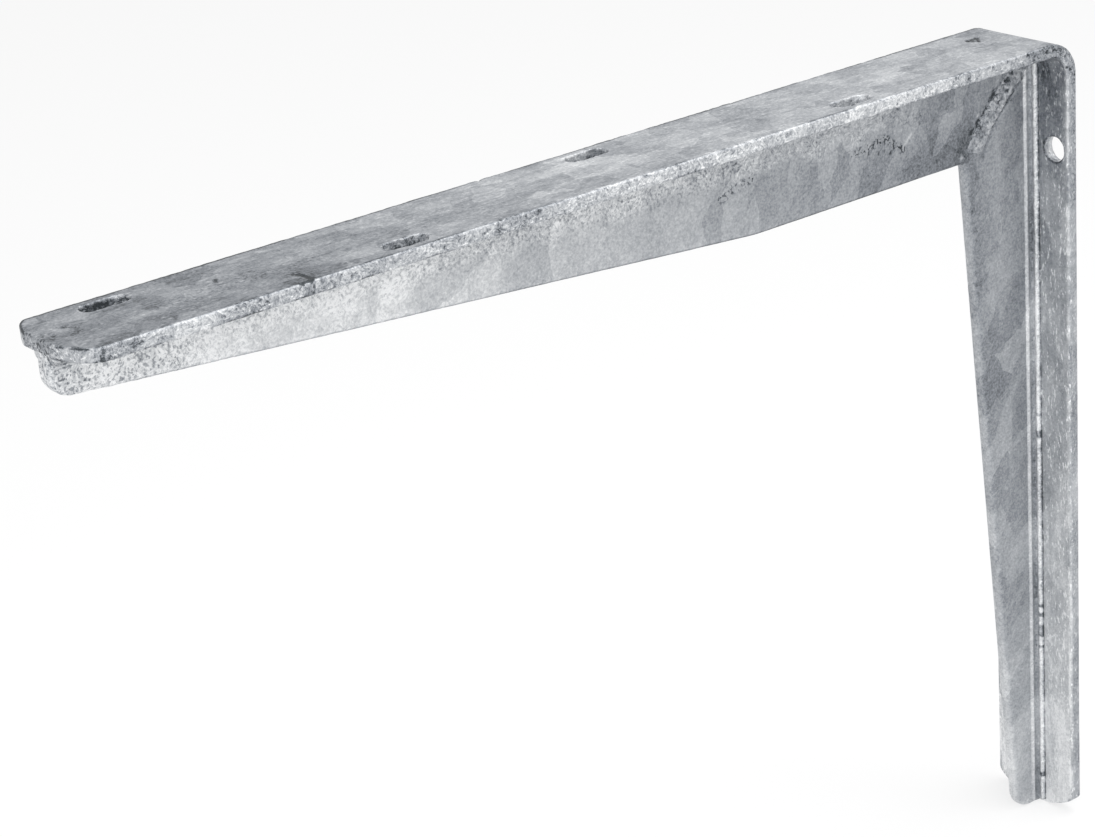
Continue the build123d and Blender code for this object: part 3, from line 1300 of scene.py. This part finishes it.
@dataclass(frozen=True)
class HotDipZinc:
    """Hot-dip galvanised zinc: pale grey metal with soft crystals and a matt lumpy crust.

    The dip leaves crystals of one to two centimetres that differ little in tone, each with
    fine feathers in a direction of its own, drag streaks and ragged patches along the strip,
    bright specks, a whitish crackled crust on rough places, and pores with dark dross in
    them. Lengths are in millimetres.

    Args:
        colours: Colours from dark dross to white zinc, each with its place on the ramp.
        crystals: Sizes of the large and the small crystals.
        crystal_lean: Turn of the crystals about Y, in radians, and crystal_squeeze their length.
        sway: Noise that bends the patterns, and sways how far it bends the crackle and crystals.
        feather_axis: Axis about which a crystal's feathers turn, and feather_turn their largest
            turn in radians.
        feathers: Noise of the feathers; streaks, patches, rain, speckle, crackles and pocks are
            the noises of the drag streaks, ragged patches, specks, grain, crust and pores.
        crackle_middle: Sum of the two crackles that leaves the tone as it is.
        flange_depth: Depths between which the drag marks along the strip fade out.
        inner_depth: Depths between which the bright specks fade in.
        roughness: Middle roughness.
        metallic: Metallic share of the clean zinc, and crust_loss how much less the crust has.
        bump: Height of the bump.
    """

    colours: tuple[tuple[float, str], ...] = (
        (0.0, "#3F4448"), (0.25, "#888C92"), (0.5, "#B2B5B9"), (0.75, "#D4D6D8"), (1.0, "#F4F5F6"))
    crystals: tuple[float, float] = (10.0, 4.5)
    crystal_lean: float = 0.45
    crystal_squeeze: float = 0.42
    sway: Noise = Noise(10.0, roughness=0.6)
    sways: tuple[float, float] = (12.0, 6.0)
    feather_axis: Spot = (0.1, 0.8, 0.6)
    feather_turn: float = 3.14
    feathers: Noise = Noise(2.0)
    streaks: Noise = Noise(1.7, detail=3.0)
    patches: Noise = Noise(9.0, detail=5.0, roughness=0.62, distortion=0.4, clip=(0.47, 0.53))
    rain: Noise = Noise(0.9, roughness=0.7, clip=(0.56, 0.7))
    speckle: Noise = Noise(0.9, roughness=0.7)
    crackles: tuple[Noise, Noise] = (Noise(1.9, 3.0, 0.7, 0.5), Noise(0.8, 3.0, 0.7, 0.5))
    crackle_middle: float = 0.96
    pocks: Noise = Noise(1.1, detail=1.5, clip=(0.52, 0.62))
    flange_depth: tuple[float, float] = (5.3, 7.0)
    inner_depth: tuple[float, float] = (1.0, 4.0)
    roughness: float = 0.5
    metallic: float = 0.8
    crust_loss: float = 0.35
    bump: float = 0.18

    def material(self) -> bpy.types.Material:
        """Build the material from Object coordinates and the pieces' four attributes.

        Every pattern is added to the tone by its weight, most of them less half of it, and the
        sum picks the colour. The crackle counts by the crust, the pocks by the pores.

        Returns:
            The material.
        """
        made = bare_material("hot_dip_zinc")
        tree = made.node_tree
        add = partial(add_node, tree)
        spot = add("TexCoord", {}, "Object")
        crust, tone, pores = (add("Attribute", {}, "Fac", attribute_name=name) for name in ATTRIBUTES)
        strip = add("Attribute", {}, "Vector", attribute_name=PLACE_ATTRIBUTE)
        sway = self.sway.output(tree, spot, "Color")
        warped, softly_warped = (
            add("VectorMath", {0: sway, 1: (reach * MM,) * 3, 2: spot}, operation="MULTIPLY_ADD")
            for reach in self.sways
        )
        leaning = add("VectorRotate", {"Vector": softly_warped, "Angle": self.crystal_lean},
                      rotation_type="Y_AXIS")
        leaning = add("VectorMath", {0: leaning, 1: (1.0, 1.0, self.crystal_squeeze)}, operation="MULTIPLY")
        cells = (
            add("TexVoronoi", {"Vector": leaning, "Scale": 1.0 / MM / size}, "Color", feature="F1")
            for size in self.crystals
        )
        shade, small_shade = (add("SeparateColor", {"Color": colour}) for colour in cells)
        angle = add("Math", {0: small_shade.node.outputs["Blue"], 1: self.feather_turn}, operation="MULTIPLY")
        turned = add("VectorRotate", {"Vector": spot, "Axis": self.feather_axis, "Angle": angle},
                     rotation_type="AXIS_ANGLE")
        drawn_out, dragged, drawn = (
            add("VectorMath", {0: vector, 1: (squeeze, 1.0, 1.0)}, operation="MULTIPLY")
            for vector, squeeze in ((turned, 0.25), (strip, 0.07), (strip, 0.3))
        )
        speckle = self.speckle.output(tree, spot)
        coarse, fine = (crackle.output(tree, warped) for crackle in self.crackles)
        crackle = add("Math", {0: coarse, 1: fine}, operation="ADD")
        crackle = add("Math", {0: crackle, 1: self.crackle_middle}, operation="SUBTRACT")
        crackle = add("Math", {0: crackle, 1: crust}, operation="MULTIPLY")
        pocks = add("Math", {0: self.pocks.output(tree, spot), 1: pores}, operation="MULTIPLY")
        depth = add("SeparateXYZ", {"Vector": strip}, "Z")
        on_flange, inside = (
            add("MapRange", {
                "Value": depth, "From Min": low * MM, "From Max": high * MM, "To Min": first, "To Max": last})
            for (low, high), first, last in ((self.flange_depth, 1.0, 0.0), (self.inner_depth, 0.35, 1.0))
        )
        rain = add("Math", {0: self.rain.output(tree, drawn), 1: inside}, operation="MULTIPLY")
        drags = ((self.streaks.output(tree, dragged), 0.2), (self.patches.output(tree, drawn), 0.08))
        along_strip = add_weighted(tree, -sum(weight for _, weight in drags) / 2.0, (*drags, (rain, 0.55)))
        weights = (
            (shade, 0.18),
            (small_shade, 0.08),
            (self.feathers.output(tree, drawn_out), 0.2),
            (speckle, 0.6),
        )
        centring = 0.04 - sum(weight for _, weight in weights) / 2.0
        total = add("Math", {0: tone, 1: centring}, operation="ADD")
        total = add("Math", {0: along_strip, 1: on_flange, 2: total}, operation="MULTIPLY_ADD")
        total = add_weighted(tree, total, (*weights, (crackle, 1.3), (pocks, -0.45)))
        ramp = add("ValToRGB", {"Fac": total}, "Color")
        stops = ramp.node.color_ramp.elements
        (_, darkest), *between, (_, lightest) = self.colours
        stops[0].color, stops[1].color = linear(darkest), linear(lightest)
        for place, colour in between:
            stops.new(place).color = linear(colour)
        gloss = add("MapRange", {
            "Value": crust, "To Min": self.metallic, "To Max": self.metallic - self.crust_loss})
        matt = add("MapRange", {
            "Value": total, "To Min": self.roughness - 0.1, "To Max": self.roughness + 0.12})
        height = add_weighted(tree, speckle, ((crackle, 1.6), (pocks, -1.0)))
        normal = add("Bump", {"Height": height, "Strength": 0.6, "Distance": self.bump * MM})
        shader = add("BsdfPrincipled", {
            "Base Color": ramp, "Metallic": gloss, "Roughness": matt, "Normal": normal})
        add("OutputMaterial", {"Surface": shader})
        return made


@dataclass(frozen=True)
class Viewpoint:
    """The camera: where it stands and how it looks, in metres and degrees.

    Args:
        spot: Place of the lens.
        azimuth: Turn about Z, from Y towards X.
        elevation: Height above the level, and roll the turn about the line of sight.
        focal_pixels: Focal length in pixels of the photo.
        film_mm: Width of the film.
    """

    spot: Spot = (0.75274, 0.70250, 0.43644)
    azimuth: float = 36.446
    elevation: float = 22.258
    roll: float = -4.660
    focal_pixels: float = 2869.7
    film_mm: float = 36.0

    def build(self) -> bpy.types.Object:
        """Make the camera and turn it by its azimuth, elevation and roll."""
        lens = bpy.data.cameras.new("camera")
        lens.sensor_width = self.film_mm
        lens.lens = self.focal_pixels * self.film_mm / PHOTO_WIDTH
        made = link_new("camera", lens)
        azimuth, elevation, roll = np.radians([self.azimuth, self.elevation, self.roll])
        level_share = np.cos(elevation)
        ahead = -np.array([np.sin(azimuth) * level_share, np.cos(azimuth) * level_share, np.sin(elevation)])
        level = np.cross(ahead, [0.0, 0.0, 1.0])
        level /= np.linalg.norm(level)
        above = np.cross(level, ahead)
        right = level * np.cos(roll) + above * np.sin(roll)
        up = above * np.cos(roll) - level * np.sin(roll)
        turn = np.stack([right, up, -ahead], axis=1)
        made.matrix_world = Matrix.Translation(self.spot) @ Matrix(turn.tolist()).to_4x4()
        bpy.context.scene.camera = made
        return made


@dataclass(frozen=True)
class Studio:
    """A white room: a pale floor that keeps the shadow, soft lamps and an even sky.

    Args:
        floor_size: Side of the square floor, in metres.
        sky: Strength of the sky.
        aim: Point at which the lamps look, in metres.
        paper: Colour of the floor, and glow_share how much of it shows as plain white.
        lamps: Name, place in metres, side in metres and power in watts of each lamp.
    """

    floor_size: float = 6.0
    sky: float = 0.75
    aim: Spot = (0.18, 0.0, 0.05)
    paper: tuple[float, float, float] = (0.9, 0.9, 0.9)
    glow_share: float = 0.7
    lamps: tuple[tuple[str, Spot, float, float], ...] = (
        ("key", (1.0, 1.1, 1.0), 1.9, 15.2), ("top", (-0.3, 0.3, 1.4), 0.9, 10.0))

    def lamp(self, name: str, spot: Spot, size: float, power: float) -> None:
        """Hang a square lamp that looks at the middle of the bracket.

        Args:
            name: Name of the lamp.
            spot: Place in metres.
            size: Side of the square in metres.
            power: Power in watts.
        """
        light = bpy.data.lights.new(name, "AREA")
        light.size = size
        light.energy = power
        made = link_new(name, light)
        turn = (Vector(self.aim) - Vector(spot)).to_track_quat("-Z", "Y").to_matrix().to_4x4()
        made.matrix_world = Matrix.Translation(spot) @ turn

    def build(self, foot: float) -> None:
        """Make the floor under the foot, the sky and the lamps.

        Args:
            foot: Height of the bracket's foot in metres.
        """
        world = bpy.data.worlds.new("sky")
        bpy.context.scene.world = world
        world.use_nodes = True
        background = world.node_tree.nodes["Background"].inputs
        background["Color"].default_value = WHITE
        background["Strength"].default_value = self.sky
        half = self.floor_size / 2.0
        corners = [(-half, -half, foot), (half, -half, foot), (half, half, foot), (-half, half, foot)]
        mesh = bpy.data.meshes.new("floor")
        mesh.from_pydata(corners, [], [(0, 1, 2, 3)])
        floor = link_new("floor", mesh)
        mesh.materials.append(self.floor_material())
        floor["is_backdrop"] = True
        for lamp in self.lamps:
            self.lamp(*lamp)

    def floor_material(self) -> bpy.types.Material:
        """White paper: shown as white, with the shadow kept in its plain part."""
        made = bare_material("white_paper")
        add = partial(add_node, made.node_tree)
        glossy = add("LightPath", {}, "Is Glossy Ray")
        seen = add("Math", {0: glossy.node.outputs["Is Camera Ray"], 1: glossy}, operation="MAXIMUM")
        share = add("Math", {0: seen, 1: self.glow_share}, operation="MULTIPLY")
        plain = add("BsdfDiffuse", {"Color": (*self.paper, 1.0)})
        glow = add("Emission", {"Color": WHITE, "Strength": 1.0})
        add("OutputMaterial", {"Surface": add("MixShader", {0: share, 1: plain, 2: glow})})
        return made


def blemishes(shelf: float) -> tuple[tuple[Dent, ...], tuple[Rash, ...]]:
    """Place the pits, nicks, grooves and pores that this bracket's zinc has, with painted shade in the weld's
    crease and painted glints on the weld.

    Args:
        shelf: Height of the shelf face.

    Returns:
        The dents and the rashes.
    """
    web_face, bead_face, near_edge, far_edge = 2.5, 3.3, 20.0, -20.0

    def through(*spots: Spot) -> Stroke:
        """Lay a stroke through spots given as (x, distance across, depth below the shelf face)."""
        return Stroke(tuple((x, across, shelf - depth) for x, across, depth in spots))

    def flat(*spots: tuple[float, float]) -> Stroke:
        """Lay a stroke on the shelf face through spots given as (x, distance across)."""
        return through(*((x, across, 0.0) for x, across in spots))

    def upright(across: float, *spots: tuple[float, float]) -> Stroke:
        """Lay a stroke at one distance across through spots given as (x, depth)."""
        return through(*((x, across, depth) for x, depth in spots))

    triangle = flat((21.0, -9.2), (26.5, -8.6), (24.0, -5.6), (21.0, -9.2))
    hook = flat((330.6, 10.9), (329.7, 13.3), (329.4, 16.0), (330.1, 19.6), (334.0, 19.7))
    loops = flat((401.5, -4.0), (398.8, -2.0), (399.5, 2.6), (402.5, 4.0))
    nick = flat((349.0, -4.2), (350.0, -2.6))
    scratch = upright(web_face, (70.9, 27.1), (66.3, 22.7))
    long_string = upright(web_face, (94.5, 23.8), (87.0, 23.0), (79.5, 21.6), (75.8, 24.6), (70.9, 27.4))
    short_string = upright(web_face, (156.0, 24.0), (149.7, 21.5), (142.0, 20.3))
    dents = triangle.dents(0.6, 0.2, 0.5) + hook.dents(0.7, 0.2, 0.6) + nick.dents(0.6, 0.2, 0.6)
    dents += loops.dents(0.45, 0.1, 0.15) + scratch.dents(0.5, 0.1, -0.3)
    dents += long_string.pits(7, 0.8, 71) + short_string.pits(4, 0.8, 72)
    rashes = triangle.rashes(1.6, 0.8) + hook.rashes(1.8, 0.9) + loops.rashes(1.6, 0.5)
    rashes += long_string.rashes(1.5, 1.0) + short_string.rashes(1.8, 0.9)
    for side in Side:
        face = side.value * web_face
        # The crease along the weld's toe is a groove with painted shade.
        crease = upright(face, (9.0, 14.4), (14.8, 19.9), (20.8, 25.3), (25.8, 30.4))
        faint = upright(face, (25.8, 30.4), (29.2, 36.3), (31.0, 40.5))
        arm_side = upright(face, (13.0, 8.0), (21.0, 16.5), (36.0, 30.0))
        bead = upright(side.value * bead_face, (10.0, 13.0), (36.0, 37.0))
        dents += crease.dents(0.9, 0.35, 0.25) + faint.dents(0.9, 0.25, 0.12) + arm_side.pits(20, 0.9, 73)
        # Dark pits; a negative stain paints a glint, a bright highlight spot on the weld.
        for x, depth, reach, stain in (
            (17.6, 14.5, 1.1, 0.6), (18.9, 18.3, 0.9, 0.6), (24.9, 17.5, 1.0, 0.55), (26.7, 19.7, 0.8, 0.5),
            (23.0, 21.5, 0.9, 0.5), (33.3, 24.5, 0.8, -0.5), (35.9, 30.4, 0.9, -0.5), (42.0, 38.2, 1.1, -0.5),
            (12.5, 13.5, 0.9, -0.3),
        ):
            spot = (x, side.value * 3.0, depth)
            dents += through(spot, spot).dents(reach, 0.5 * stain, stain)
        rashes += arm_side.rashes(2.0, 0.6) + bead.rashes(4.5, 0.25)
    for edge, seed in ((near_edge, 74), (far_edge, 84)):
        whole = upright(edge, (404.0, 2.5), (14.0, 2.5))
        arris = upright(edge, (250.0, 0.4), (20.0, 0.4))
        bend = upright(edge, (16.0, 0.8), (4.2, 4.5), (0.8, 15.0))
        below_bend = upright(edge, (0.8, 15.0), (1.5, 60.0))
        leg = upright(edge, (2.5, 179.0), (2.5, 259.0))
        dents += whole.pits(36, 1.0, seed) + arris.pits(22, 0.4, seed + 1) + bend.pits(16, 0.9, seed + 2)
        rashes += whole.rashes(2.2, 0.35) + bend.rashes(2.4, 0.6)
        rashes += below_bend.rashes(1.8, 0.45) + leg.rashes(1.8, 0.15)
    for stroke, reach, depth, stain in (
        (through((409.9, 9.0, 0.6), (409.0, 11.0, 0.6)), 0.45, 0.1, 0.6),
        (through((408.2, 12.4, 0.6), (404.8, 17.4, 0.6)), 0.45, 0.1, 0.6),
        (flat((374.6, 14.6), (374.6, 14.6)), 0.8, 0.2, 0.5),
        (upright(near_edge, (389.0, 2.6), (389.0, 2.6)), 0.8, 0.2, 0.5),
        (upright(near_edge, (402.0, 0.8), (402.0, 4.6)), 0.9, 0.1, 0.35),
    ):
        dents += stroke.dents(reach, depth, stain)
    for stroke, reach, strength in (
        (upright(web_face, (82.0, 10.0), (64.0, 18.0)), 4.0, 0.35),
        (through((411.0, 0.0, 5.0), (404.0, 2.5, 13.0)), 7.0, 0.8),
        (through((411.0, -12.0, 2.0), (411.0, 8.0, 2.0)), 3.0, 0.5),
        (upright(web_face, (404.0, 14.0), (370.0, 15.0)), 7.0, 0.95),
        (upright(web_face, (370.0, 8.0), (150.0, 12.0)), 9.0, 0.55),
    ):
        rashes += stroke.rashes(reach, strength)
    dents += flat((390.0, 0.0), (20.0, -4.0)).pits(16, 8.0, 80)
    return dents, rashes


def build_bracket(low: Points, high: Points) -> list[bpy.types.Object]:
    """Build the bracket's pieces from the real size.

    Args:
        low: Lowest corner of the real size, in millimetres.
        high: Highest corner.

    Returns:
        The pieces.
    """
    reach, drop = high[0] - low[0], high[2] - low[2]
    shelf, foot = high[2], low[2]
    dents, rashes = blemishes(shelf)
    course = Course(reach=reach, drop=drop, outer_radius=13.0)
    # An opening's shade is painted shade on its inner walls; the holes' negative shade paints their walls
    # brighter, as lit.
    slots = tuple(
        Opening(along=from_tip, across=side.value * 12.5, length=16.5, width=7.0, outer_widening=0.0,
                outer_depth=1.0, margin=3.2, lines=side.ordered(5.5, 18.1), burr=0.3, jag=jag,
                shade=shade, crust=0.9)
        for from_tip, side, jag, shade in (
            (28.5, Side.FAR, 0.5, 0.3), (119.9, Side.NEAR, 0.9, 0.05), (210.6, Side.FAR, 0.9, 0.1),
            (306.4, Side.NEAR, 0.9, 0.1))
    )
    holes = tuple(
        Opening(along=course.along_leg(height), across=side.value * 13.0, length=9.6, width=9.6,
                outer_widening=0.5, outer_depth=2.0, margin=3.0, lines=side.ordered(5.5, 19.0),
                rim=0.25, burr=0.5, jag=0.15, shade=-0.25, crust=0.6)
        for height, side in ((shelf - 42.0, Side.NEAR), (foot + 42.0, Side.FAR))
    )
    skin = ZincSkin(dents=dents, rashes=rashes)
    flange = Flange(
        low, high, skin, course, slots + holes,
        tip_cuts={Side.NEAR: CornerCut(9.0, 6.0), Side.FAR: CornerCut(6.0, 10.5)},
        foot_cuts={Side.NEAR: CornerCut(7.3, 6.0), Side.FAR: CornerCut(6.8, 8.5)},
    )
    web = Web(
        low, high, skin, course,
        outline=((reach - 0.1, shelf - 4.0), (reach - 0.1, shelf - 18.5), (141.0, shelf - 41.0),
                 (40.0, shelf - 41.0), (18.0, foot + 0.1), (5.0, foot + 0.1)),
        radii=(8.0, 60.0, 2.5, 8.5),
    )
    pools = {Side.NEAR: 0.0, Side.FAR: 0.6}
    ridges = [RootRidge(low, high, skin, course, side, pool=pool) for side, pool in pools.items()]
    weld = WeldBead(low, high, skin, course)
    return [flange.build(), web.build(), *(ridge.build() for ridge in ridges), weld.build()]


def main() -> None:
    """Build the bracket, dress it, and set up the studio and the camera."""
    logging.basicConfig(level=logging.INFO, format="%(name)s: %(message)s")
    cad_box = [list(corner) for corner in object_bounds()]
    low, high = (np.array(corner) / MM for corner in cad_box)
    zinc = HotDipZinc().material()
    for piece in build_bracket(low, high):
        piece.data.materials.append(zinc)
    Studio().build(cad_box[0][2])
    Viewpoint().build()
    bpy.context.scene.view_settings.view_transform = "Standard"


if __name__ == "__main__":
    main()
